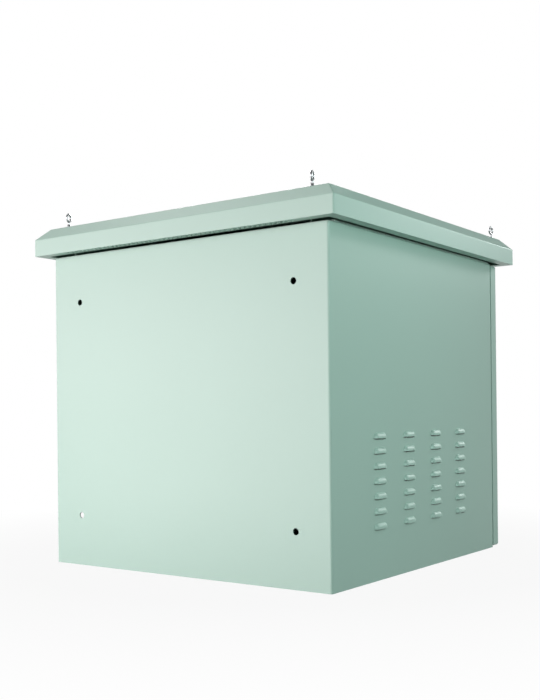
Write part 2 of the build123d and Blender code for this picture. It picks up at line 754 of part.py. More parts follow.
def hinge_frame_leaf(z):
    """The fixed leaf: a foot on the front return, an arm forward and the two outer knuckles."""
    lower, _, upper = knuckle_spans(z)
    whole = (lower[0], upper[1])
    arm_x = (PIN_X - HINGE_KNUCKLE_R, PIN_X - HINGE_KNUCKLE_R + HINGE_T)
    foot = block((arm_x[0] - HINGE_BODY_LEAF_W, arm_x[1]), (Y_FRONT - HINGE_T, Y_FRONT), whole)
    arm = block(arm_x, (PIN_Y, Y_FRONT), whole)
    window = block(
        (arm_x[0] - OVERRUN, arm_x[1] + OVERRUN),
        (PIN_Y - OVERRUN, PIN_Y + HINGE_KNUCKLE_R + HINGE_GAP),
        (lower[1], upper[0]),
    )
    knuckles = [rod_z(HINGE_KNUCKLE_R, PIN_X, PIN_Y, span) for span in (lower, upper)]
    return foot + (arm - window) + knuckles - pin_bore(z)


def hinge_door_leaf(z):
    """The moving leaf: a foot on the door's inner face, an arm back and the middle knuckle."""
    lower, middle, upper = knuckle_spans(z)
    arm_x = (PIN_X - HINGE_T / 2, PIN_X + HINGE_T / 2)
    foot = block(
        (PIN_X - HINGE_DOOR_LEAF_W, arm_x[1]), (DOOR_IN_Y, DOOR_IN_Y + HINGE_T), (lower[0], upper[1])
    )
    arm = block(arm_x, (DOOR_IN_Y, PIN_Y), middle)
    return foot + arm + rod_z(HINGE_KNUCKLE_R, PIN_X, PIN_Y, middle) - pin_bore(z)


def hinge_pin(z):
    lower, _, upper = knuckle_spans(z)
    head = rod_z(HINGE_KNUCKLE_R, PIN_X, PIN_Y, (upper[1], upper[1] + HINGE_PIN_HEAD_H))
    return rod_z(HINGE_PIN_R, PIN_X, PIN_Y, (lower[0], upper[1])) + head


# Latches

def latch_housing(z):
    """A round rose on the door's face and a barrel that reaches back to the cam."""
    rose = rod_y(LATCH_ROSE_R, LATCH_X, (ROSE_Y, Y_FACE), z)
    rim = rose.faces().sort_by(Axis.Y)[0].edges()
    rose = chamfer(rim, LATCH_ROSE_EDGE)
    barrel = rod_y(LATCH_BARREL_R, LATCH_X, (Y_FACE, CAM_Y - BARREL_GAP), z)
    seat_y = ROSE_Y + PLUG_RECESS + PLUG_HEAD_H + TURN_CLEAR
    bore = rod_y(PLUG_R + TURN_CLEAR, LATCH_X, (ROSE_Y - OVERRUN, CAM_Y + OVERRUN), z)
    recess = rod_y(PLUG_HEAD_R + TURN_CLEAR, LATCH_X, (ROSE_Y - OVERRUN, seat_y), z)
    return rose + barrel - [bore, recess]


def latch_nut(z):
    span = (DOOR_IN_Y, DOOR_IN_Y + LATCH_NUT_H)
    bore = rod_y(LATCH_BARREL_R + BOLT_CLEAR, LATCH_X, (span[0] - OVERRUN, span[1] + OVERRUN), z)
    return hexagon_y(LATCH_NUT_R, LATCH_X, span, z) - bore


def latch_plug(z):
    """The turning plug: a head with a keyway, a round body and a square tenon for the cam."""
    head_y = ROSE_Y + PLUG_RECESS
    head = rod_y(PLUG_HEAD_R, LATCH_X, (head_y, head_y + PLUG_HEAD_H), z)
    body = rod_y(PLUG_R, LATCH_X, (head_y, CAM_Y), z)
    half = CAM_TENON / 2
    end_y = CAM_Y + CAM_T
    tenon = block((LATCH_X - half, LATCH_X + half), (head_y, end_y), (z - half, z + half))
    bore = rod_y(BOLT_R + BOLT_CLEAR, LATCH_X, (end_y - PLUG_BORE_DEPTH, end_y + OVERRUN), z)
    keyway = block(
        (LATCH_X - KEYWAY_W / 2, LATCH_X + KEYWAY_W / 2),
        (head_y - OVERRUN, head_y + KEYWAY_DEPTH),
        (z - KEYWAY_L / 2, z + KEYWAY_L / 2),
    )
    return head + body + tenon - [bore, keyway]


def latch_cam(z):
    """The cam hangs down when unlocked and turns a quarter to reach behind the door frame."""
    span = (CAM_Y, CAM_Y + CAM_T)
    eye = rod_y(CAM_W / 2, LATCH_X, span, z)
    half = CAM_W / 2
    tongue = block((LATCH_X - half, LATCH_X + half), span, (z - CAM_REACH, z))
    hole = CAM_TENON / 2 + TURN_CLEAR
    square = block(
        (LATCH_X - hole, LATCH_X + hole), (CAM_Y - OVERRUN, CAM_Y + CAM_T + OVERRUN), (z - hole, z + hole)
    )
    return eye + tongue - square


def cam_screw(z):
    seat = CAM_Y + CAM_T
    head = hexagon_y(BOLT_HEAD_R, LATCH_X, (seat, seat + BOLT_HEAD_H), z)
    return head + rod_y(BOLT_R, LATCH_X, (seat - PLUG_BORE_DEPTH + BOLT_END_GAP, seat), z)


# Rack frame

def rack_hole_heights():
    return [
        RACK_Z + unit * RACK_UNIT + RACK_HOLE_FIRST + hole * RACK_HOLE_STEP
        for unit in range(RACK_UNITS)
        for hole in range(RACK_HOLES_PER_UNIT)
    ]


def front_post():
    """The right front post: an angle with square holes in the face that takes the equipment."""
    z_span = (FLOOR_Z + PANEL_GAP, CEILING_Z - PANEL_GAP)
    face = block((POST_X0, POST_X1), (FRONT_POST_Y, FRONT_POST_Y + POST_T), z_span)
    web = block((POST_X1 - POST_T, POST_X1), (FRONT_POST_Y, FRONT_POST_Y + POST_D), z_span)
    hole = Box(RACK_HOLE_SIDE, POST_T + 2 * OVERRUN, RACK_HOLE_SIDE)
    cuts = [Pos(RACK_HOLE_X, FRONT_POST_Y, z) * hole for z in rack_hole_heights()]
    bolt_y = post_bolt_places()[0]
    span = (POST_X1 - POST_T - OVERRUN, POST_X1 + OVERRUN)
    bolt_hole = rod_x(BOLT_R + BOLT_CLEAR, span, bolt_y, FLOOR_Z + RAIL_LEG / 2)
    return face + web - cuts - floor_and_ceiling([bolt_hole])


def rear_post():
    """The right rear post is the front one turned to face the back."""
    return mirror(front_post(), about=Plane.XZ.offset(-RAIL_Y))


def lower_rail():
    """The right floor rail: an angle with a long slot for each post."""
    y_span = (RAIL_Y - RAIL_L / 2, RAIL_Y + RAIL_L / 2)
    leg = block((RAIL_X0, RAIL_X1), y_span, (FLOOR_Z, FLOOR_Z + RAIL_LEG))
    foot = block((RAIL_X0, RAIL_X0 + RAIL_FOOT), y_span, (FLOOR_Z, FLOOR_Z + RAIL_T))
    width = 2 * (BOLT_R + BOLT_CLEAR)
    x_span = (RAIL_X0 - OVERRUN, RAIL_X1 + OVERRUN)
    cuts = [
        plate_x(RAIL_SLOT_L, width, BOLT_R, x_span, y, FLOOR_Z + RAIL_LEG / 2) for y in post_bolt_places()
    ]
    for x, y in rail_bolt_places():
        cuts.append(rod_z(BOLT_R + BOLT_CLEAR, x, y, (0, FLOOR_Z + RAIL_T + OVERRUN)))
    return leg + foot - cuts


def post_bolts():
    bolts = []
    for y in post_bolt_places():
        z = FLOOR_Z + RAIL_LEG / 2
        head = hexagon_x(BOLT_HEAD_R, (RAIL_X1, RAIL_X1 + BOLT_HEAD_H), y, z)
        bolts.append(head + rod_x(BOLT_R, (POST_X1 - POST_T, RAIL_X1), y, z))
    return group(both_sides(floor_and_ceiling(bolts)))


def rail_bolts():
    seat = FLOOR_Z + RAIL_T
    bolts = []
    for x, y in rail_bolt_places():
        head = hexagon_z(BOLT_HEAD_R, x, y, (seat, seat + BOLT_HEAD_H))
        bolts.append(head + rod_z(BOLT_R, x, y, (BOLT_END_GAP, seat)))
    return group(both_sides(floor_and_ceiling(bolts)))


# Fans

def fan_frame(x):
    """A square frame round an air duct, with struts that carry the stator and its bearing tube."""
    z_span = (FAN_Z, CEILING_Z)
    cut_span = (FAN_Z - OVERRUN, CEILING_Z + OVERRUN)
    shell = plate_z(FAN_SIZE, FAN_SIZE, FAN_CORNER_R, x, FAN_Y, z_span)
    shell = shell - rod_z(FAN_DUCT_R, x, FAN_Y, cut_span)
    strut = Box(FAN_DUCT_R, FAN_STRUT_W, FAN_STRUT_T)
    centre = Pos(x, FAN_Y, FAN_Z + FAN_STRUT_T / 2)
    turns = [FULL_TURN * (i + 0.5) / FAN_STRUTS for i in range(FAN_STRUTS)]
    struts = [centre * Rot(0, 0, turn) * Pos(FAN_DUCT_R / 2, 0, 0) * strut for turn in turns]
    stator = rod_z(FAN_STATOR_R, x, FAN_Y, (FAN_Z, FAN_Z + FAN_STATOR_T))
    tube = rod_z(FAN_TUBE_R, x, FAN_Y, (FAN_Z, FAN_Z + FAN_TUBE_H))
    bore_span = (FAN_Z + FAN_STRUT_T, FAN_Z + FAN_TUBE_H + OVERRUN)
    cuts = [rod_z(FAN_SHAFT_R + FAN_SHAFT_CLEAR, x, FAN_Y, bore_span)]
    cuts += [rod_z(SCREW_R + BOLT_CLEAR, *place, cut_span) for place in fan_screw_places(x)]
    return shell + struts + [stator, tube] - cuts


def blade_section(radius, chord, pitch):
    """A cambered section of a fan blade across the radius, turned to its pitch."""
    half = chord / 2
    under = ThreePointArc((-half, 0), (0, FAN_BLADE_CAMBER), (half, 0))
    over = ThreePointArc((-half, FAN_BLADE_T), (0, FAN_BLADE_CAMBER + FAN_BLADE_T), (half, FAN_BLADE_T))
    ends = [Line(under @ 0, over @ 0), Line(under @ 1, over @ 1)]
    across = Plane(origin=(radius, 0, 0), x_dir=(0, 1, 0), z_dir=(1, 0, 0))
    return across * Rot(0, 0, pitch) * make_face([under, over] + ends)


def fan_blade(root, tip):
    """A twisted blade along X from the hub's wall past its tip."""
    root_section = blade_section(root, FAN_BLADE_ROOT_CHORD, FAN_BLADE_ROOT_PITCH)
    tip_section = blade_section(tip, FAN_BLADE_TIP_CHORD, FAN_BLADE_TIP_PITCH)
    return loft([root_section, tip_section])


def fan_rotor(x):
    """A cup on a shaft, with twisted blades round it."""
    hub_z0 = FAN_Z + FAN_STATOR_T + FAN_HUB_GAP
    hub_z1 = CEILING_Z - FAN_HUB_GAP
    cup = rod_z(FAN_HUB_R, x, FAN_Y, (hub_z0, hub_z1))
    hollow = rod_z(FAN_HUB_R - FAN_HUB_WALL, x, FAN_Y, (hub_z0 - OVERRUN, hub_z1 - FAN_HUB_WALL))
    shaft = rod_z(FAN_SHAFT_R, x, FAN_Y, (FAN_Z + FAN_STRUT_T + FAN_HUB_GAP, hub_z1))
    blade = fan_blade(FAN_HUB_R - FAN_HUB_WALL / 2, FAN_DUCT_R)
    sweep = rod_z(FAN_DUCT_R - FAN_TIP_GAP, x, FAN_Y, (hub_z0, hub_z1))
    centre = Pos(x, FAN_Y, (hub_z0 + hub_z1) / 2)
    turns = [FULL_TURN * i / FAN_BLADES for i in range(FAN_BLADES)]
    blades = [(centre * Rot(0, 0, turn) * blade) & sweep for turn in turns]
    return cup - hollow + [shaft] + blades


def fan_screws():
    screws = []
    for x in fan_places().values():
        for place in fan_screw_places(x):
            head = rod_z(SCREW_HEAD_R, *place, (FAN_Z - SCREW_HEAD_H, FAN_Z))
            screws.append(head + rod_z(SCREW_R, *place, (FAN_Z, BODY_H - BOLT_END_GAP)))
    return group(screws)


# Filters

def filter_frame():
    """The right filter frame: a flange on the wall, a folded rim and a lip that holds the mat."""
    face_x = WALL_IN - FILTER_D
    flange_w = FILTER_W + 2 * FILTER_FLANGE
    flange_span = (WALL_IN - FILTER_SHEET, WALL_IN)
    frame = plate_x(FILTER_W, FILTER_H, FILTER_R, (face_x, WALL_IN), FILTER_Y, FILTER_Z)
    frame = frame + plate_x(flange_w, FILTER_H, FILTER_R, flange_span, FILTER_Y, FILTER_Z)
    pocket_w = FILTER_W - 2 * FILTER_SHEET
    pocket_h = FILTER_H - 2 * FILTER_SHEET
    pocket_r = FILTER_R - FILTER_SHEET
    pocket_span = (face_x + FILTER_SHEET, WALL_IN + OVERRUN)
    pocket = plate_x(pocket_w, pocket_h, pocket_r, pocket_span, FILTER_Y, FILTER_Z)
    window_w = pocket_w - 2 * FILTER_LIP
    window_h = pocket_h - 2 * FILTER_LIP
    window = plate_x(window_w, window_h, FILTER_R, (face_x - OVERRUN, WALL_IN), FILTER_Y, FILTER_Z)
    cuts = [pocket, window]
    for y, z in filter_stud_places():
        cuts.append(rod_x(STUD_R + BOLT_CLEAR, (face_x, WALL_IN + OVERRUN), y, z))
    return frame - cuts


def filter_mat():
    inset = 2 * (FILTER_SHEET + PANEL_GAP)
    x_span = (WALL_IN - FILTER_D + FILTER_SHEET + PANEL_GAP, WALL_IN - PANEL_GAP)
    return plate_x(FILTER_W - inset, FILTER_H - inset, FILTER_R, x_span, FILTER_Y, FILTER_Z)


def filter_studs():
    """A weld stud and a nut at each place on the filter frames' flanges."""
    fixings = []
    seat = WALL_IN - FILTER_SHEET
    for y, z in filter_stud_places():
        fixings.append(rod_x(STUD_R, (WALL_IN - STUD_L, WALL_IN), y, z))
        bore = rod_x(STUD_R + BOLT_CLEAR, (seat - STUD_NUT_H - OVERRUN, seat + OVERRUN), y, z)
        fixings.append(hexagon_x(STUD_NUT_R, (seat - STUD_NUT_H, seat), y, z) - bore)
    return group(both_sides(fixings))


# Gland plate

def gland_plate():
    span = (FLOOR_Z, FLOOR_Z + GLAND_T)
    cut_span = (FLOOR_Z - OVERRUN, FLOOR_Z + GLAND_T + OVERRUN)
    cuts = [rod_z(GROMMET_HOLE_R, x, GLAND_Y, cut_span) for x in grommet_places()]
    cuts += [rod_z(SCREW_R + BOLT_CLEAR, *place, cut_span) for place in gland_screw_places()]
    return plate_z(GLAND_W, GLAND_D, GLAND_R, 0, GLAND_Y, span) - cuts


def gland_grommets():
    """Blind rubber grommets: a lip under the plate, a neck through it and a hollow cone above."""
    top = FLOOR_Z + GLAND_T
    cone_z = top + GROMMET_LIP_T
    cone_mid = cone_z + GROMMET_H / 2
    grommets = []
    for x in grommet_places():
        lips = [
            rod_z(GROMMET_LIP_R, x, GLAND_Y, (FLOOR_Z - GROMMET_LIP_T, FLOOR_Z)),
            rod_z(GROMMET_LIP_R, x, GLAND_Y, (top, cone_z)),
            rod_z(GROMMET_HOLE_R - BOLT_CLEAR, x, GLAND_Y, (FLOOR_Z, top)),
        ]
        cone = Pos(x, GLAND_Y, cone_mid) * Cone(GROMMET_HOLE_R, GROMMET_TIP_R, GROMMET_H)
        hollow = Pos(x, GLAND_Y, cone_mid - GROMMET_WALL) * Cone(
            GROMMET_HOLE_R - GROMMET_WALL, GROMMET_TIP_R - GROMMET_WALL, GROMMET_H
        )
        throat = rod_z(GROMMET_HOLE_R - GROMMET_WALL, x, GLAND_Y, (-OVERRUN, cone_z - GROMMET_WALL))
        grommets.append(cone + lips - [hollow, throat])
    return group(grommets)


def gland_screws():
    seat = FLOOR_Z + GLAND_T
    screws = []
    for place in gland_screw_places():
        head = rod_z(SCREW_HEAD_R, *place, (seat, seat + SCREW_HEAD_H))
        screws.append(head + rod_z(SCREW_R, *place, (BOLT_END_GAP, seat)))
    return group(screws)


# Earth stud

def earth_stud():
    return rod_z(EARTH_R, EARTH_X, EARTH_Y, (FLOOR_Z, FLOOR_Z + EARTH_L))


def earth_nuts():
    nuts = []
    for i in range(2):
        foot = FLOOR_Z + i * (EARTH_NUT_H + EARTH_NUT_GAP)
        bore = rod_z(EARTH_R + BOLT_CLEAR, EARTH_X, EARTH_Y, (foot - OVERRUN, foot + EARTH_NUT_H + OVERRUN))
        nuts.append(hexagon_z(EARTH_NUT_R, EARTH_X, EARTH_Y, (foot, foot + EARTH_NUT_H)) - bore)
    return group(nuts)


# All pieces by name

def left_and_right(name, shape):
    """A piece of the right side and its mirror image on the left."""
    return {f"{name}_right": shape, f"{name}_left": mirror(shape, about=MIRROR_X)}


def pieces():
    made = {
        "body_wrap": body_wrap(),
        "floor_pan": floor_pan(),
        "top_panel": top_panel(),
        "door_frame": door_frame(),
        "side_port_trim": side_port_trim(),
        "roof_cap": roof_cap(),
        "bearer_bolts": bearer_bolts(),
        "lifting_eyes": lifting_eyes(),
        "lifting_eye_nuts": lifting_eye_nuts(),
        "door": door(),
        "door_gasket": door_gasket(),
        "door_stiffener": door_stiffener(),
        "hinge_frame_leaves": group(hinge_frame_leaf(z) for z in hinge_heights()),
        "hinge_door_leaves": group(hinge_door_leaf(z) for z in hinge_heights()),
        "hinge_pins": group(hinge_pin(z) for z in hinge_heights()),
        "latch_housings": group(latch_housing(z) for z in latch_heights()),
        "latch_nuts": group(latch_nut(z) for z in latch_heights()),
        "post_bolts": post_bolts(),
        "rail_bolts": rail_bolts(),
        "fan_screws": fan_screws(),
        "filter_studs": filter_studs(),
        "gland_plate": gland_plate(),
        "gland_grommets": gland_grommets(),
        "gland_screws": gland_screws(),
        "earth_stud": earth_stud(),
        "earth_nuts": earth_nuts(),
    }
    made.update(left_and_right("roof_bearer", roof_bearer()))
    made.update(left_and_right("front_post", front_post()))
    made.update(left_and_right("rear_post", rear_post()))
    made.update(left_and_right("lower_rail", lower_rail()))
    made.update(left_and_right("upper_rail", mirror(lower_rail(), about=MIRROR_Z)))
    made.update(left_and_right("filter_frame", filter_frame()))
    made.update(left_and_right("filter_mat", filter_mat()))
    for place, z in zip(("lower", "upper"), latch_heights()):
        made[f"{place}_latch_plug"] = latch_plug(z)
        made[f"{place}_latch_cam"] = latch_cam(z)
        made[f"{place}_cam_screw"] = cam_screw(z)
    for side, x in fan_places().items():
        made[f"fan_frame_{side}"] = fan_frame(x)
        made[f"fan_rotor_{side}"] = fan_rotor(x)
    return made


os.makedirs("parts", exist_ok=True)
for name, shape in pieces().items():
    export_step(shape, f"parts/{name}.step")
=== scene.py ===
import json
import math
import bmesh
import bpy
from mathutils import Matrix, Vector
from mathutils import noise as fine_noise


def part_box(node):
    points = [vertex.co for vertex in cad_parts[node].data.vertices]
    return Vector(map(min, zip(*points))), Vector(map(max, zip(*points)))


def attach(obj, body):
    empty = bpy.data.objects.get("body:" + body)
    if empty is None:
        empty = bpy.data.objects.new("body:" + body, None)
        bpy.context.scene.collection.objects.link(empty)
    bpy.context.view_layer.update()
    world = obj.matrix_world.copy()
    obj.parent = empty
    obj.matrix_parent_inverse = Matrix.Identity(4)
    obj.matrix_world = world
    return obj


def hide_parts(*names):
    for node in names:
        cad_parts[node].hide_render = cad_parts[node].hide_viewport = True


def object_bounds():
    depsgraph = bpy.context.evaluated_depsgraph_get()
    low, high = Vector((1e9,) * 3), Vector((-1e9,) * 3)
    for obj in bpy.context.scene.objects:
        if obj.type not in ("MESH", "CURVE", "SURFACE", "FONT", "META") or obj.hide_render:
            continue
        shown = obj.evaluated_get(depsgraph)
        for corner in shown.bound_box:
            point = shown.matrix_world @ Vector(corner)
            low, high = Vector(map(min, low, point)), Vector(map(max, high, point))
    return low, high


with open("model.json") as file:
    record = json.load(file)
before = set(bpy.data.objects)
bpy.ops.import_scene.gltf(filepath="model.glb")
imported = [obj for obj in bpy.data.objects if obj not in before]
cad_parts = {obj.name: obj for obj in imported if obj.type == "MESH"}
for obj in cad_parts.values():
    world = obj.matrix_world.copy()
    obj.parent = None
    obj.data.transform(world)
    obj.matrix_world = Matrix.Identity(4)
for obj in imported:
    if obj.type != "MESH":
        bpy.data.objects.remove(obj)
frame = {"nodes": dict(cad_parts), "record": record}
cad_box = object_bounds()
nodes = frame["nodes"]


def new_object(name, data):
    made = bpy.data.objects.new(name, data)
    bpy.context.scene.collection.objects.link(made)
    return made


# Camera, fitted to the photograph of 540 by 700 pixels

IMAGE_LONG_SIDE = 700.0
CAMERA_PLACE = Vector((-1.0943, 1.5688, 0.2790))
CAMERA_AHEAD = Vector((0.5853, -0.8108, 0.0021)).normalized()
CAMERA_ROLL = math.radians(0.584)
FOCAL_PIXELS = 988.66
AXIS_BELOW_CENTRE = 57.0
SENSOR = 36.0
CLIP_START = 0.05


def make_camera():
    data = bpy.data.cameras.new("camera")
    data.sensor_width = SENSOR
    data.lens = FOCAL_PIXELS / IMAGE_LONG_SIDE * SENSOR
    data.shift_y = AXIS_BELOW_CENTRE / IMAGE_LONG_SIDE
    data.clip_start = CLIP_START
    level = CAMERA_AHEAD.cross(Vector((0, 0, 1))).normalized()
    above = level.cross(CAMERA_AHEAD)
    c, s = math.cos(CAMERA_ROLL), math.sin(CAMERA_ROLL)
    right = c * level - s * above
    up = s * level + c * above
    turn = Matrix((right, up, -CAMERA_AHEAD)).transposed()
    camera = new_object("camera", data)
    camera.matrix_world = Matrix.Translation(CAMERA_PLACE) @ turn.to_4x4()
    bpy.context.scene.camera = camera


make_camera()


# Helpers for the shader nodes

NOISE_LOW, NOISE_HIGH = 0.3, 0.7


def blank(name):
    material = bpy.data.materials.new(name)
    material.use_nodes = True
    return material, material.node_tree, material.node_tree.nodes["Principled BSDF"]


def add(tree, kind, inputs=None, **settings):
    node = tree.nodes.new("ShaderNode" + kind)
    for key, value in settings.items():
        setattr(node, key, value)
    for key, value in (inputs or {}).items():
        if isinstance(value, bpy.types.NodeSocket):
            tree.links.new(value, node.inputs[key])
        else:
            node.inputs[key].default_value = value
    return node


def combined(tree, operation, first, second):
    return add(tree, "Math", {0: first, 1: second}, operation=operation).outputs[0]


def place(tree):
    return add(tree, "TexCoord").outputs["Object"]


def stretched(tree, scale):
    return add(tree, "Mapping", {"Vector": place(tree), "Scale": scale}).outputs["Vector"]


def noise(tree, scale, detail=2.0, rough=0.5, vector=None):
    inputs = {"Vector": vector or place(tree), "Scale": scale, "Detail": detail, "Roughness": rough}
    return add(tree, "TexNoise", inputs).outputs["Fac"]


def ramp(tree, factor, stops):
    node = add(tree, "ValToRGB", {"Fac": factor})
    for step, (position, colour) in zip(node.color_ramp.elements, stops, strict=True):
        step.position = position
        step.color = (*colour, 1.0)
    return node.outputs["Color"]


def between(tree, factor, low, high, from_low=NOISE_LOW, from_high=NOISE_HIGH):
    inputs = {"Value": factor, "From Min": from_low, "From Max": from_high, "To Min": low, "To Max": high}
    return add(tree, "MapRange", inputs).outputs["Result"]


def bump(tree, height, strength, distance, normal=None):
    inputs = {"Height": height, "Strength": strength, "Distance": distance}
    if normal:
        inputs["Normal"] = normal
    return add(tree, "Bump", inputs).outputs["Normal"]


def join(tree, shader, colour, rough, normal):
    for key, socket in (("Base Color", colour), ("Roughness", rough), ("Normal", normal)):
        tree.links.new(socket, shader.inputs[key])


def tint(colour, share):
    return tuple(min(1.0, value * share) for value in colour)


def mottled(tree, colour, scale, detail, low, high):
    """A colour that wanders between two shares of itself."""
    stops = [(NOISE_LOW, tint(colour, low)), (NOISE_HIGH, tint(colour, high))]
    return ramp(tree, noise(tree, scale, detail), stops)


# Materials; a bump is a strength and a distance in metres

COAT_TONE = (2.2, 2.0, 0.985, 1.015)
COAT_GRAIN_SCALE = 900.0
COAT_ROUGH = (0.38, 0.44)
PEEL_SCALE, PEEL_DETAIL, PEEL_ROUGH = 520.0, 2.0, 0.55
PEEL_BUMP = (0.08, 0.0004)
PLATED_FINE_SCALE, PLATED_FINE_DETAIL = 9.0, 3.0
PLATED_DARK_AT, PLATED_FULL_AT = 0.05, 0.45
PLATED_ROUGH_LOW, PLATED_ROUGH_HIGH = 0.8, 1.3
PLATED_ROUGH_SPAN = (0.1, 0.5)
PLATED_BUMP = (0.08, 0.0002)
GRAIN_DEPTH = 0.0003
LUMP_NOISE = (120.0, 5.0, 0.7)
LUMP_BUMP = (0.4, 0.002)
FIBRE_NOISE = (600.0, 4.0, 0.7)
FIBRE_STRETCH = 0.15
FIBRE_BUMP = (0.7, 0.0012)
FLEECE_DARK_AT, FLEECE_FULL_AT, FLEECE_DARK_SHARE = 0.40, 0.66, 0.62
FLEECE_ROUGH = (0.86, 0.98)
FLEECE_SHEEN = 0.3


def powder_coat(name, colour):
    """Satin powder coat: a fine orange peel and a faintly uneven tone."""
    material, tree, shader = blank(name)
    peel = noise(tree, PEEL_SCALE, PEEL_DETAIL, PEEL_ROUGH)
    join(
        tree,
        shader,
        colour=mottled(tree, colour, *COAT_TONE),
        rough=between(tree, noise(tree, COAT_GRAIN_SCALE), *COAT_ROUGH),
        normal=bump(tree, peel, *PEEL_BUMP),
    )
    return material


def plated(name, colour, dark, rough, spangle):
    """Plated steel or brass: metallic, with the crystals of the plating at the scale of its spangle."""
    material, tree, shader = blank(name)
    shader.inputs["Metallic"].default_value = 1.0
    cells = add(tree, "TexVoronoi", {"Vector": place(tree), "Scale": spangle}).outputs["Color"]
    level = add(tree, "RGBToBW", {"Color": cells}).outputs["Val"]
    fine = noise(tree, spangle * PLATED_FINE_SCALE, PLATED_FINE_DETAIL)
    mixed = combined(tree, "MULTIPLY", level, fine)
    rough_span = (rough * PLATED_ROUGH_LOW, rough * PLATED_ROUGH_HIGH)
    join(
        tree,
        shader,
        colour=ramp(tree, mixed, [(PLATED_DARK_AT, dark), (PLATED_FULL_AT, colour)]),
        rough=between(tree, mixed, *rough_span, *PLATED_ROUGH_SPAN),
        normal=bump(tree, fine, *PLATED_BUMP),
    )
    return material


def moulded(name, colour, tone, grain, rough, strength):
    """Moulded rubber or plastic: a fine grain over a slightly uneven colour."""
    material, tree, shader = blank(name)
    fine = noise(tree, *grain)
    join(
        tree,
        shader,
        colour=mottled(tree, colour, *tone),
        rough=between(tree, fine, *rough),
        normal=bump(tree, fine, strength, GRAIN_DEPTH),
    )
    return material


def fleece(name, colour):
    """Bonded filter fleece: tangled fibres over a loose lumpy ground."""
    material, tree, shader = blank(name)
    lumps = noise(tree, *LUMP_NOISE)
    across = noise(tree, *FIBRE_NOISE, stretched(tree, (1.0, FIBRE_STRETCH, 1.0)))
    along = noise(tree, *FIBRE_NOISE, stretched(tree, (1.0, 1.0, FIBRE_STRETCH)))
    fibres = combined(tree, "MAXIMUM", across, along)
    stops = [(FLEECE_DARK_AT, tint(colour, FLEECE_DARK_SHARE)), (FLEECE_FULL_AT, colour)]
    join(
        tree,
        shader,
        colour=ramp(tree, fibres, stops),
        rough=between(tree, lumps, *FLEECE_ROUGH),
        normal=bump(tree, fibres, *FIBRE_BUMP, bump(tree, lumps, *LUMP_BUMP)),
    )
    shader.inputs["Sheen Weight"].default_value = FLEECE_SHEEN
    return material


FINISHES = {
    "coat": powder_coat("coat", (0.395, 0.575, 0.494)),
    "zinc": plated("zinc", (0.62, 0.64, 0.66), (0.42, 0.44, 0.46), rough=0.36, spangle=110.0),
    "bright": plated("bright", (0.46, 0.47, 0.48), (0.30, 0.31, 0.32), rough=0.24, spangle=420.0),
    "lock_metal": plated("lock_metal", (0.74, 0.75, 0.76), (0.60, 0.61, 0.62), rough=0.18, spangle=900.0),
    "brass": plated("brass", (0.76, 0.58, 0.28), (0.50, 0.36, 0.15), rough=0.28, spangle=500.0),
    "rubber": moulded(
        "rubber",
        (0.022, 0.022, 0.023),
        tone=(35.0, 4.0, 0.7, 1.3),
        grain=(1500.0, 3.0),
        rough=(0.62, 0.82),
        strength=0.25,
    ),
    "fan_plastic": moulded(
        "fan_plastic",
        (0.020, 0.020, 0.021),
        tone=(20.0, 3.0, 0.85, 1.2),
        grain=(1100.0, 2.0),
        rough=(0.42, 0.58),
        strength=0.15,
    ),
    "fleece": fleece("fleece", (0.80, 0.80, 0.76)),
}
for row in frame["record"]["subparts"]:
    mesh = nodes[row["node"]].data
    mesh.materials.clear()
    mesh.materials.append(FINISHES[row["material_slot"]])


# Shapes of the dressed pieces, in millimetres until they are placed

MM = 0.001
TURN = 2 * math.pi
SEGMENTS = 48
SMOOTH_ANGLE = math.radians(32)
WELD = 1e-6
ORDER_DIGITS = 5
HEX_CROWN_SHARE = 0.86
HEX_CHAMFER = math.tan(math.radians(30))
WASHER_SHARE, WASHER_H = 0.97, 0.4
DIMPLE_RIM_SHARE, DIMPLE_BASE_SHARE, DIMPLE_DEPTH = 0.62, 0.55, 0.25
BORE_CHAMFER = 0.4
THREAD_DEPTH_SHARE = 0.54
THREAD_STEPS = 6
THREAD_SEGMENTS = 28
PAN_RINGS = 24
PAN_DOME_FALL, PAN_EDGE_FALL, PAN_EDGE_START = 0.28, 0.5, 0.85
CROSS_ARM, CROSS_REACH, CROSS_SOFT, CROSS_DEPTH = 0.17, 0.58, 0.09, 0.55


def angles(count):
    return [TURN * i / count for i in range(count)]


def skin(form, rows, placed, closed=False):
    """Joins rows of points, each a ring or a single pole, into one surface."""
    made = [[form.verts.new(placed @ Vector(point)) for point in row] for row in rows]
    following = made[1:] + made[:1] if closed else made[1:]
    for low, high in zip(made, following):
        count = max(len(low), len(high))
        for i in range(count):
            j = (i + 1) % count
            corners = (low[i % len(low)], low[j % len(low)], high[j % len(high)], high[i % len(high)])
            form.faces.new(list(dict.fromkeys(corners)))


def stand(point, axis):
    """Takes a shape in millimetres that stands on its own origin to a place and an axis of the object."""
    lean = Vector((0, 0, 1)).rotation_difference(Vector(axis)).to_matrix().to_4x4()
    return Matrix.Translation(point) @ lean @ Matrix.Scale(MM, 4)


def ring(radius, height, count=SEGMENTS):
    """A ring of points; both values may be functions of the angle."""
    row = []
    for angle in angles(count):
        r = radius(angle) if callable(radius) else radius
        z = height(angle) if callable(height) else height
        row.append((r * math.cos(angle), r * math.sin(angle), z))
    return row


def turned(profile):
    """A turned shape from (radius, height) pairs, where a radius of zero is a pole."""
    return [ring(radius, height) if radius else [(0, 0, height)] for radius, height in profile]


def hexagon(radius):
    """The radius of a hexagon's side as a function of the angle."""
    return lambda angle: radius * math.cos(TURN / 12) / math.cos(angle % (TURN / 6) - TURN / 12)


def chamfer(radius):
    """How far the turned-off corners of a hexagon fall below its crown."""
    side = hexagon(radius)
    return lambda angle: max(0.0, side(angle) - HEX_CROWN_SHARE * radius) * HEX_CHAMFER


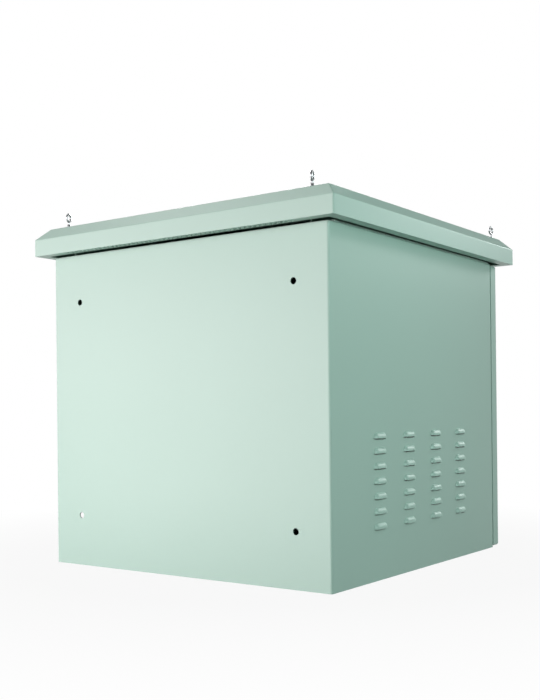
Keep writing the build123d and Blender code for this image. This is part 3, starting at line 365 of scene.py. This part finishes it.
def hex_head(radius, height):
    """A hexagonal head on a washer face, with a shallow dimple on top."""
    side, fall = hexagon(radius), chamfer(radius)
    crown = HEX_CROWN_SHARE * radius
    washer = WASHER_SHARE * crown
    base = height - DIMPLE_DEPTH
    rows = [[(0, 0, 0)], ring(washer, 0), ring(washer, WASHER_H), ring(side, WASHER_H)]
    rows += [ring(side, lambda angle: height - fall(angle)), ring(crown, height)]
    return rows + turned([(DIMPLE_RIM_SHARE * crown, height), (DIMPLE_BASE_SHARE * crown, base), (0, base)])


def hex_nut(radius, bore, height):
    """A hexagonal nut, chamfered outside and at both ends of its bore."""
    side, fall = hexagon(radius), chamfer(radius)
    crown = HEX_CROWN_SHARE * radius
    mouth = bore + BORE_CHAMFER
    rows = [ring(mouth, 0), ring(crown, 0), ring(side, fall)]
    rows += [ring(side, lambda angle: height - fall(angle)), ring(crown, height), ring(mouth, height)]
    return rows + [ring(bore, height - BORE_CHAMFER), ring(bore, BORE_CHAMFER)]


def thread_radius(radius, pitch, z):
    """The radius of a single-start thread at one height, as a function of the angle."""
    depth = THREAD_DEPTH_SHARE * pitch
    return lambda angle: radius - depth * abs(2 * ((z / pitch - angle / TURN) % 1.0) - 1)


def threaded(radius, low, high, pitch):
    """A threaded rod with turned-off ends."""
    root = radius - THREAD_DEPTH_SHARE * pitch
    steps = max(2, round((high - low) / pitch * THREAD_STEPS))
    rows = [[(0, 0, low)], ring(root, low, THREAD_SEGMENTS)]
    for k in range(1, steps):
        z = low + (high - low) * k / steps
        rows.append(ring(thread_radius(radius, pitch, z), z, THREAD_SEGMENTS))
    return rows + [ring(root, high, THREAD_SEGMENTS), [(0, 0, high)]]


def pan_head(radius, height):
    """A domed head with a cross recess."""
    arm, reach, soft = CROSS_ARM * radius, CROSS_REACH * radius, CROSS_SOFT * radius
    depth = CROSS_DEPTH * height

    def inside(value, limit):
        return min(1.0, max(0.0, (limit - abs(value)) / soft + 0.5))

    def top(share):
        edge = max(0.0, share - PAN_EDGE_START) / (1 - PAN_EDGE_START)
        dome = height * (1 - PAN_DOME_FALL * share**2 - PAN_EDGE_FALL * edge**2)

        def level(angle):
            x, y = share * radius * math.cos(angle), share * radius * math.sin(angle)
            cross = max(inside(x, arm) * inside(y, reach), inside(y, arm) * inside(x, reach))
            return dome - depth * cross

        return level

    shares = [k / PAN_RINGS for k in range(PAN_RINGS, 0, -1)]
    rows = [[(0, 0, 0)], ring(radius, 0)]
    rows += [ring(share * radius, top(share)) for share in shares]
    return rows + [[(0, 0, height - depth)]]


def dress(name, form, finish, body, replaced):
    """Makes the mesh a piece that rides on a body and stands for a node."""
    bmesh.ops.recalc_face_normals(form, faces=form.faces)
    mesh = bpy.data.meshes.new(name)
    form.to_mesh(mesh)
    form.free()
    mesh.shade_smooth()
    mesh.set_sharp_from_angle(angle=SMOOTH_ANGLE)
    mesh.materials.append(FINISHES[finish])
    piece = new_object(name, mesh)
    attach(piece, body)
    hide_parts(replaced)
    return piece


def solids(node):
    """Lowest and highest corner of each separate solid of a node, in a fixed order."""
    form = bmesh.new()
    form.from_mesh(nodes[node].data)
    bmesh.ops.remove_doubles(form, verts=form.verts, dist=WELD)
    left = set(form.verts)
    boxes = []
    while left:
        queue = [left.pop()]
        found = []
        while queue:
            vert = queue.pop()
            found.append(vert.co.copy())
            beside = {edge.other_vert(vert) for edge in vert.link_edges} & left
            left -= beside
            queue += beside
        low = Vector(min(point[i] for point in found) for i in range(3))
        high = Vector(max(point[i] for point in found) for i in range(3))
        boxes.append((low, high))
    form.free()
    return sorted(boxes, key=lambda box: tuple(round(value, ORDER_DIGITS) for value in (*box[0], *box[1])))


def head_place(box, axis):
    """Where the outer end of a solid lies along an axis, and how long the solid is, in millimetres."""
    low, high = box
    middle = (low + high) / 2
    half = abs(Vector(axis).dot(high - low)) / 2
    return middle + half * Vector(axis), 2 * half / MM


def rounded_path(half_a, half_b, radius, arc_steps, run_steps):
    """Points round a rounded rectangle, each with the direction that leads outward there."""
    arcs = []
    for corner, (side_a, side_b) in enumerate(((1, 1), (-1, 1), (-1, -1), (1, -1))):
        arc = []
        for k in range(arc_steps + 1):
            angle = TURN / 4 * (corner + k / arc_steps)
            out_a, out_b = math.cos(angle), math.sin(angle)
            a = side_a * (half_a - radius) + radius * out_a
            b = side_b * (half_b - radius) + radius * out_b
            arc.append((a, b, out_a, out_b))
        arcs.append(arc)
    path = []
    for arc, after in zip(arcs, arcs[1:] + arcs[:1]):
        path += arc
        (a0, b0, out_a, out_b), (a1, b1, _, _) = arc[-1], after[0]
        for k in range(1, run_steps):
            share = k / run_steps
            path.append((a0 + share * (a1 - a0), b0 + share * (b1 - b0), out_a, out_b))
    return path


def swept(section, path, axes):
    """A section of (reach, deep) pairs carried round a path; axes are the path's two and the deep one."""
    rows = []
    for a, b, out_a, out_b in path:
        row = []
        for reach, deep in section:
            point = [0.0, 0.0, 0.0]
            point[axes[0]] = a + reach * out_a
            point[axes[1]] = b + reach * out_b
            point[axes[2]] = deep
            row.append(point)
        rows.append(row)
    return rows


# Fasteners

BOLT_R, BOLT_HEAD_R, BOLT_HEAD_H, BOLT_PITCH = 3.0, 5.8, 4.0, 1.0
SCREW_R, SCREW_HEAD_R, SCREW_HEAD_H, SCREW_PITCH = 2.0, 4.0, 2.4, 0.7
STUD_R, STUD_PITCH, STUD_NUT_R = 2.5, 0.8, 4.6
EARTH_R, EARTH_PITCH, EARTH_NUT_R = 4.0, 1.25, 7.5
LATCH_NUT_R, LATCH_BORE_R = 14.5, 10.2
SHANK_OVERLAP = 0.2
NUT_CLEAR = 0.2
STUD_MARGIN = 1
BODY_MIDDLE_Z = 0.28


def fixings(node, finish, body, axis_of, head, head_height, radius, pitch):
    """Screws or bolts with real heads and threads in place of the plain ones of a node."""
    form = bmesh.new()
    for box in solids(node):
        axis = axis_of((box[0] + box[1]) / 2)
        end, length = head_place(box, axis)
        placed = stand(end - head_height * MM * Vector(axis), axis)
        skin(form, head, placed)
        skin(form, threaded(radius, head_height - length, SHANK_OVERLAP, pitch), placed)
    dress(node + "_dressed", form, finish, body, node)


def nuts_on_studs(node, finish, body, axis_of, stud, nut_radius, pitch):
    """Threaded studs and chamfered nuts in place of the plain ones of a node, told apart by their width."""
    form = bmesh.new()
    for low, high in solids(node):
        axis = axis_of((low + high) / 2)
        end, length = head_place((low, high), axis)
        across = sorted(high - low)[1] / MM
        placed = stand(end - length * MM * Vector(axis), axis)
        if across < 2 * stud + STUD_MARGIN:
            skin(form, threaded(stud, 0, length, pitch), placed)
        else:
            skin(form, hex_nut(nut_radius, stud + NUT_CLEAR, length), placed, closed=True)
    dress(node + "_dressed", form, finish, body, node)


def latch_nuts():
    form = bmesh.new()
    for box in solids("latch_nuts"):
        end, height = head_place(box, (0, -1, 0))
        skin(form, hex_nut(LATCH_NUT_R, LATCH_BORE_R, height), stand(end, (0, 1, 0)), closed=True)
    dress("latch_nuts_dressed", form, "bright", "door", "latch_nuts")


# Which way a fixing points, from the middle of its solid


def upright(middle):
    return (0, 0, 1)


def hanging(middle):
    return (0, 0, -1)


def backward(middle):
    return (0, 1, 0)


def outward(middle):
    return (math.copysign(1, middle.x), 0, 0)


def inward(middle):
    return (-math.copysign(1, middle.x), 0, 0)


def to_middle(middle):
    return (0, 0, 1 if middle.z < BODY_MIDDLE_Z else -1)


bolt = (hex_head(BOLT_HEAD_R, BOLT_HEAD_H), BOLT_HEAD_H, BOLT_R, BOLT_PITCH)
screw = (pan_head(SCREW_HEAD_R, SCREW_HEAD_H), SCREW_HEAD_H, SCREW_R, SCREW_PITCH)
fixings("post_bolts", "bright", "cabinet", outward, *bolt)
fixings("rail_bolts", "bright", "cabinet", to_middle, *bolt)
fixings("bearer_bolts", "bright", "cabinet", upright, *bolt)
fixings("upper_cam_screw", "bright", "upper_latch", backward, *bolt)
fixings("lower_cam_screw", "bright", "lower_latch", backward, *bolt)
fixings("fan_screws", "bright", "cabinet", hanging, *screw)
fixings("gland_screws", "bright", "cabinet", upright, *screw)
nuts_on_studs("filter_studs", "bright", "cabinet", inward, STUD_R, STUD_NUT_R, STUD_PITCH)
nuts_on_studs("earth_stud", "brass", "cabinet", upright, EARTH_R, EARTH_NUT_R, EARTH_PITCH)
nuts_on_studs("earth_nuts", "brass", "cabinet", upright, EARTH_R, EARTH_NUT_R, EARTH_PITCH)
latch_nuts()


# Lifting eyes: a forged ring on a stem that flares into a round foot

EYE_RING_R, EYE_WIRE_R, EYE_STEM_H = 6.9, 2.1, 18.0
EYE_WIRE_SEGMENTS = 20
EYE_SHANK_R, EYE_SHANK_PITCH = 3.0, 1.0
EYE_REAR_TURN = math.radians(20)
EYE_STEM = (
    (0, 0), (6.0, 0), (6.0, 0.8), (5.7, 1.2), (4.7, 1.7), (3.8, 2.5), (3.1, 3.7), (2.7, 5.2),
    (2.5, 6.8), (2.5, 8.0), (2.6, 9.2), (2.3, 10.4), (0, 11.1),
)


def lifting_eyes():
    form = bmesh.new()
    wire = [
        ring(EYE_RING_R + EYE_WIRE_R * math.cos(angle), EYE_WIRE_R * math.sin(angle))
        for angle in angles(EYE_WIRE_SEGMENTS)
    ]
    for low, high in solids("lifting_eyes"):
        middle = (low + high) / 2
        ring_z = high.z - (EYE_RING_R + EYE_WIRE_R) * MM
        foot = Vector((middle.x, middle.y, ring_z - EYE_STEM_H * MM))
        aside = Matrix.Rotation(EYE_REAR_TURN if middle.y > 0 else 0.0, 4, "Z")
        turn = aside @ Matrix.Rotation(TURN / 4, 4, "Y")
        placed = Matrix.Translation((middle.x, middle.y, ring_z)) @ turn @ Matrix.Scale(MM, 4)
        standing = stand(foot, (0, 0, 1))
        shank_end = (low.z - foot.z) / MM
        skin(form, wire, placed, closed=True)
        skin(form, turned(EYE_STEM), standing)
        skin(form, threaded(EYE_SHANK_R, shank_end, SHANK_OVERLAP, EYE_SHANK_PITCH), standing)
    dress("lifting_eyes_dressed", form, "bright", "cabinet", "lifting_eyes")


lifting_eyes()


# Rubber pieces

CORNER_STEPS = 8
GASKET_HALF_W, GASKET_PATH_R, GASKET_RUN_STEPS = 5.0, 6.0, 60
GASKET_WOBBLE, GASKET_WOBBLE_SCALE = 0.15, 0.08
GASKET_SECTION = (
    (-4.7, 0), (-4.7, 5.2), (-4.4, 7.2), (-3.4, 8.7), (-2.2, 9.5), (-1.4, 9.55), (-0.9, 9.1), (0, 8.95),
    (0.9, 9.1), (1.4, 9.55), (2.2, 9.5), (3.4, 8.7), (4.4, 7.2), (4.7, 5.2), (4.7, 0),
)
TRIM_REACH, TRIM_PATH_R, TRIM_RUN_STEPS = 6.5, 2.5, 6
TRIM_SECTION = (
    (2.2, 1.0), (5.9, 1.0), (6.5, 1.5), (6.4, 2.3), (5.4, 3.1), (3.5, 3.45), (1.5, 3.2), (0.4, 2.3), (0, 1.0),
    (0, -1.0), (0.4, -2.3), (1.5, -3.2), (3.5, -3.45), (5.4, -3.1), (6.4, -2.3), (6.5, -1.5), (5.9, -1.0),
    (2.2, -1.0),
)
GROMMET = (
    (0, 19.2), (8.0, 19.2), (8.8, 18.9), (9.1, 18.2), (9.1, 17.2), (11.2, 16.6), (11.5, 16.0),
    (11.5, 14.6), (13.6, 14.0), (13.9, 13.4), (13.9, 12.0), (16.0, 11.4), (16.3, 10.8), (16.3, 9.2),
    (18.4, 8.6), (18.7, 8.0), (18.9, 6.2), (19.6, 5.3), (24.2, 5.2), (24.8, 4.9), (25.0, 4.4),
    (24.8, 3.9), (24.2, 3.6), (19.8, 3.6), (19.8, 1.6), (24.2, 1.6), (24.8, 1.3), (25.0, 0.8),
    (24.8, 0.3), (24.2, 0), (18.9, 0), (18.4, 0.4), (18.4, 3.6), (7.4, 17.4), (0, 17.4),
)


def door_gasket():
    """A foamed seal: a crowned bead with the groove that the frame's lip has pressed into it."""
    low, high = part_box("door_gasket")
    middle = (low + high) / 2
    half = (high - low) / 2 / MM
    half_x, half_z = half.x - GASKET_HALF_W, half.z - GASKET_HALF_W
    wavy = []
    for a, b, out_a, out_b in rounded_path(half_x, half_z, GASKET_PATH_R, CORNER_STEPS, GASKET_RUN_STEPS):
        shift = GASKET_WOBBLE * fine_noise.noise(Vector((a, b, 0.0)) * GASKET_WOBBLE_SCALE)
        wavy.append((a + shift * out_a, b + shift * out_b, out_a, out_b))
    form = bmesh.new()
    placed = Matrix.Translation((middle.x, low.y, middle.z)) @ Matrix.Scale(MM, 4)
    skin(form, swept(GASKET_SECTION, wavy, (0, 2, 1)), placed, closed=True)
    dress("door_gasket_dressed", form, "rubber", "door", "door_gasket")


def port_trim():
    """Edging whose two rounded lips hold the edge of the cable port."""
    low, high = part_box("side_port_trim")
    middle = (low + high) / 2
    half = (high - low) / 2 / MM
    half_y, half_z = half.y - TRIM_REACH, half.z - TRIM_REACH
    path = rounded_path(half_y, half_z, TRIM_PATH_R, CORNER_STEPS, TRIM_RUN_STEPS)
    form = bmesh.new()
    placed = Matrix.Translation(middle) @ Matrix.Scale(MM, 4)
    skin(form, swept(TRIM_SECTION, path, (1, 2, 0)), placed, closed=True)
    dress("side_port_trim_dressed", form, "rubber", "cabinet", "side_port_trim")


def grommets():
    """Blind grommets with stepped cones to be cut open for a cable."""
    form = bmesh.new()
    for low, high in solids("gland_grommets"):
        foot = Vector(((low.x + high.x) / 2, (low.y + high.y) / 2, low.z))
        skin(form, turned(GROMMET), stand(foot, (0, 0, 1)))
    dress("gland_grommets_dressed", form, "rubber", "cabinet", "gland_grommets")


door_gasket()
port_trim()
grommets()


# Filter mats: lumpy fleece, full in the middle and thinner where the frame grips its edges

MAT_STEPS_Y, MAT_STEPS_Z = 120, 60
MAT_GRIP = 0.012
MAT_EDGE_SHARE = 0.62
MAT_LUMP, MAT_LUMP_SWING = 0.0006, 0.6
MAT_LUMP_SCALE, MAT_LUMP_FRACTAL = 90.0, (1.0, 2.0, 4)
MAT_SIDE_SHIFT = 0.7


def mat_depth(half, side, y, z, edge):
    """How far one face of a mat stands from its middle plane, at a distance from the nearest edge."""
    full = 1 - (1 - min(1.0, edge / MAT_GRIP)) ** 2
    spot = Vector((y, z, MAT_SIDE_SHIFT * side)) * MAT_LUMP_SCALE
    lump = fine_noise.fractal(spot, *MAT_LUMP_FRACTAL)
    swell = half * (MAT_EDGE_SHARE + (1 - MAT_EDGE_SHARE) * full)
    return min(half, swell - MAT_LUMP * (1 - MAT_LUMP_SWING * lump) * full)


def rim(grid):
    """The outer points of a grid in order."""
    far = [column[-1] for column in grid[:-1]]
    near = [column[0] for column in grid[:0:-1]]
    return grid[0][:-1] + far + grid[-1][:0:-1] + near


def filter_mat(node):
    low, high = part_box(node)
    half = (high.x - low.x) / 2
    middle_x = (low.x + high.x) / 2
    form = bmesh.new()
    faces = []
    for side in (-1, 1):
        grid = []
        for i in range(MAT_STEPS_Y + 1):
            column = []
            for j in range(MAT_STEPS_Z + 1):
                y = low.y + (high.y - low.y) * i / MAT_STEPS_Y
                z = low.z + (high.z - low.z) * j / MAT_STEPS_Z
                edge = min(y - low.y, high.y - y, z - low.z, high.z - z)
                deep = mat_depth(half, side, y, z, edge)
                column.append(form.verts.new((middle_x + side * deep, y, z)))
            grid.append(column)
        faces.append(grid)
    for grid in faces:
        for i in range(MAT_STEPS_Y):
            for j in range(MAT_STEPS_Z):
                form.faces.new((grid[i][j], grid[i + 1][j], grid[i + 1][j + 1], grid[i][j + 1]))
    first, second = (rim(grid) for grid in faces)
    for i in range(len(first)):
        j = (i + 1) % len(first)
        form.faces.new((first[i], first[j], second[j], second[i]))
    piece = dress(node + "_fleece", form, "fleece", "cabinet", node)


filter_mat("filter_mat_left")
filter_mat("filter_mat_right")


# Floor, world and lamps

WHITE = (1.0, 1.0, 1.0, 1.0)
FLOOR_HALF, FLOOR_DROP = 30.0, 0.0005
FLOOR_GREY = (0.18, 0.18, 0.18, 1.0)
FLOOR_WHITE_NEAR, FLOOR_WHITE_FAR, FLOOR_WHITE_SHARE = 0.5, 1.1, 0.93
AMBIENT_SIDE, AMBIENT_TOP, AMBIENT_HIGH = 0.20, 0.10, 0.8
CEILING, CEILING_LOW, CEILING_HIGH = 0.25, 0.30, 0.60
MIDDLE = (0.0, 0.0, 0.30)
NEUTRAL = (1.0, 1.0, 1.0)
# name, place, aim, width and height, watts, colour
LAMPS = (
    ("key", (2.05, 3.15, 0.66), MIDDLE, (2.7, 1.30), 95.5, (1.0, 0.92, 0.94)),
    ("back_fill", (-0.70, 3.60, 1.10), MIDDLE, (2.4, 1.60), 21.0, (1.0, 0.94, 0.95)),
    ("fill", (-1.50, 0.36, 0.72), (0.0, 0.18, 0.20), (0.8, 0.24), 8.0, (0.78, 1.0, 0.97)),
    ("kicker", (-1.05, -2.75, 1.37), (-0.3, 0.0, 0.18), (0.6, 0.40), 15.0, (0.92, 1.0, 0.98)),
    ("overhead", (1.55, 0.3, 2.9), (0.0, 0.3, 0.6), (1.0, 1.0), 14.0, NEUTRAL),
    ("low_fill", (0.25, 1.05, 0.05), (0.0, 0.31, 0.08), (1.1, 0.09), 2.1, (1.0, 0.95, 0.96)),
    ("front", (1.60, -2.20, 1.70), MIDDLE, (1.6, 1.2), 64.0, NEUTRAL),
)


def seen_rays(tree):
    """1 for rays from the camera, a reflection or a clear material, 0 for the rays that light the object."""
    path = add(tree, "LightPath").outputs
    both = combined(tree, "MAXIMUM", path["Is Camera Ray"], path["Is Glossy Ray"])
    return combined(tree, "MAXIMUM", both, path["Is Transmission Ray"])


def floor_material():
    """White where it is seen, apart from a share near the object that keeps its shadow; grey as a light."""
    material, tree, _ = blank("floor")
    tree.nodes.clear()
    matt = add(tree, "BsdfDiffuse", {"Color": FLOOR_GREY}).outputs["BSDF"]
    glow = add(tree, "Emission", {"Color": WHITE, "Strength": 1.0}).outputs["Emission"]
    away = add(tree, "VectorMath", {0: place(tree)}, operation="LENGTH").outputs["Value"]
    white = between(tree, away, FLOOR_WHITE_SHARE, 1.0, FLOOR_WHITE_NEAR, FLOOR_WHITE_FAR)
    share = combined(tree, "MULTIPLY", white, seen_rays(tree))
    mixed = add(tree, "MixShader", {"Fac": share, 1: matt, 2: glow}).outputs["Shader"]
    add(tree, "OutputMaterial", {"Surface": mixed})
    return material


def make_floor():
    mesh = bpy.data.meshes.new("floor")
    form = bmesh.new()
    bmesh.ops.create_grid(form, x_segments=1, y_segments=1, size=FLOOR_HALF)
    form.to_mesh(mesh)
    form.free()
    mesh.materials.append(floor_material())
    floor = new_object("floor", mesh)
    floor.location.z = cad_box[0].z - FLOOR_DROP


def make_world():
    """White where it is seen, with a grey ceiling in reflections; as a light, brightest at the horizon."""
    world = bpy.data.worlds.new("studio")
    bpy.context.scene.world = world
    world.use_nodes = True
    tree = world.node_tree
    towards = add(tree, "TexCoord").outputs["Generated"]
    height = add(tree, "SeparateXYZ", {"Vector": towards}).outputs["Z"]
    light = between(tree, height, AMBIENT_SIDE, AMBIENT_TOP, 0.0, AMBIENT_HIGH)
    ceiling = between(tree, height, 1.0, CEILING, CEILING_LOW, CEILING_HIGH)
    seen = combined(tree, "MAXIMUM", ceiling, add(tree, "LightPath").outputs["Is Camera Ray"])
    strength = add(tree, "Mix", {"Factor": seen_rays(tree), "A": light, "B": seen}).outputs["Result"]
    ground = tree.nodes["Background"]
    ground.inputs["Color"].default_value = WHITE
    tree.links.new(strength, ground.inputs["Strength"])


def softbox(name, at, aim, size, power, colour):
    data = bpy.data.lights.new(name, "AREA")
    data.shape = "RECTANGLE"
    data.size, data.size_y = size
    data.energy = power
    data.color = colour
    lamp = new_object(name, data)
    lamp.location = at
    lamp.rotation_euler = (Vector(aim) - Vector(at)).to_track_quat("-Z", "Y").to_euler()


make_floor()
make_world()
for lamp_row in LAMPS:
    softbox(*lamp_row)

bpy.context.scene.view_settings.view_transform = "Standard"
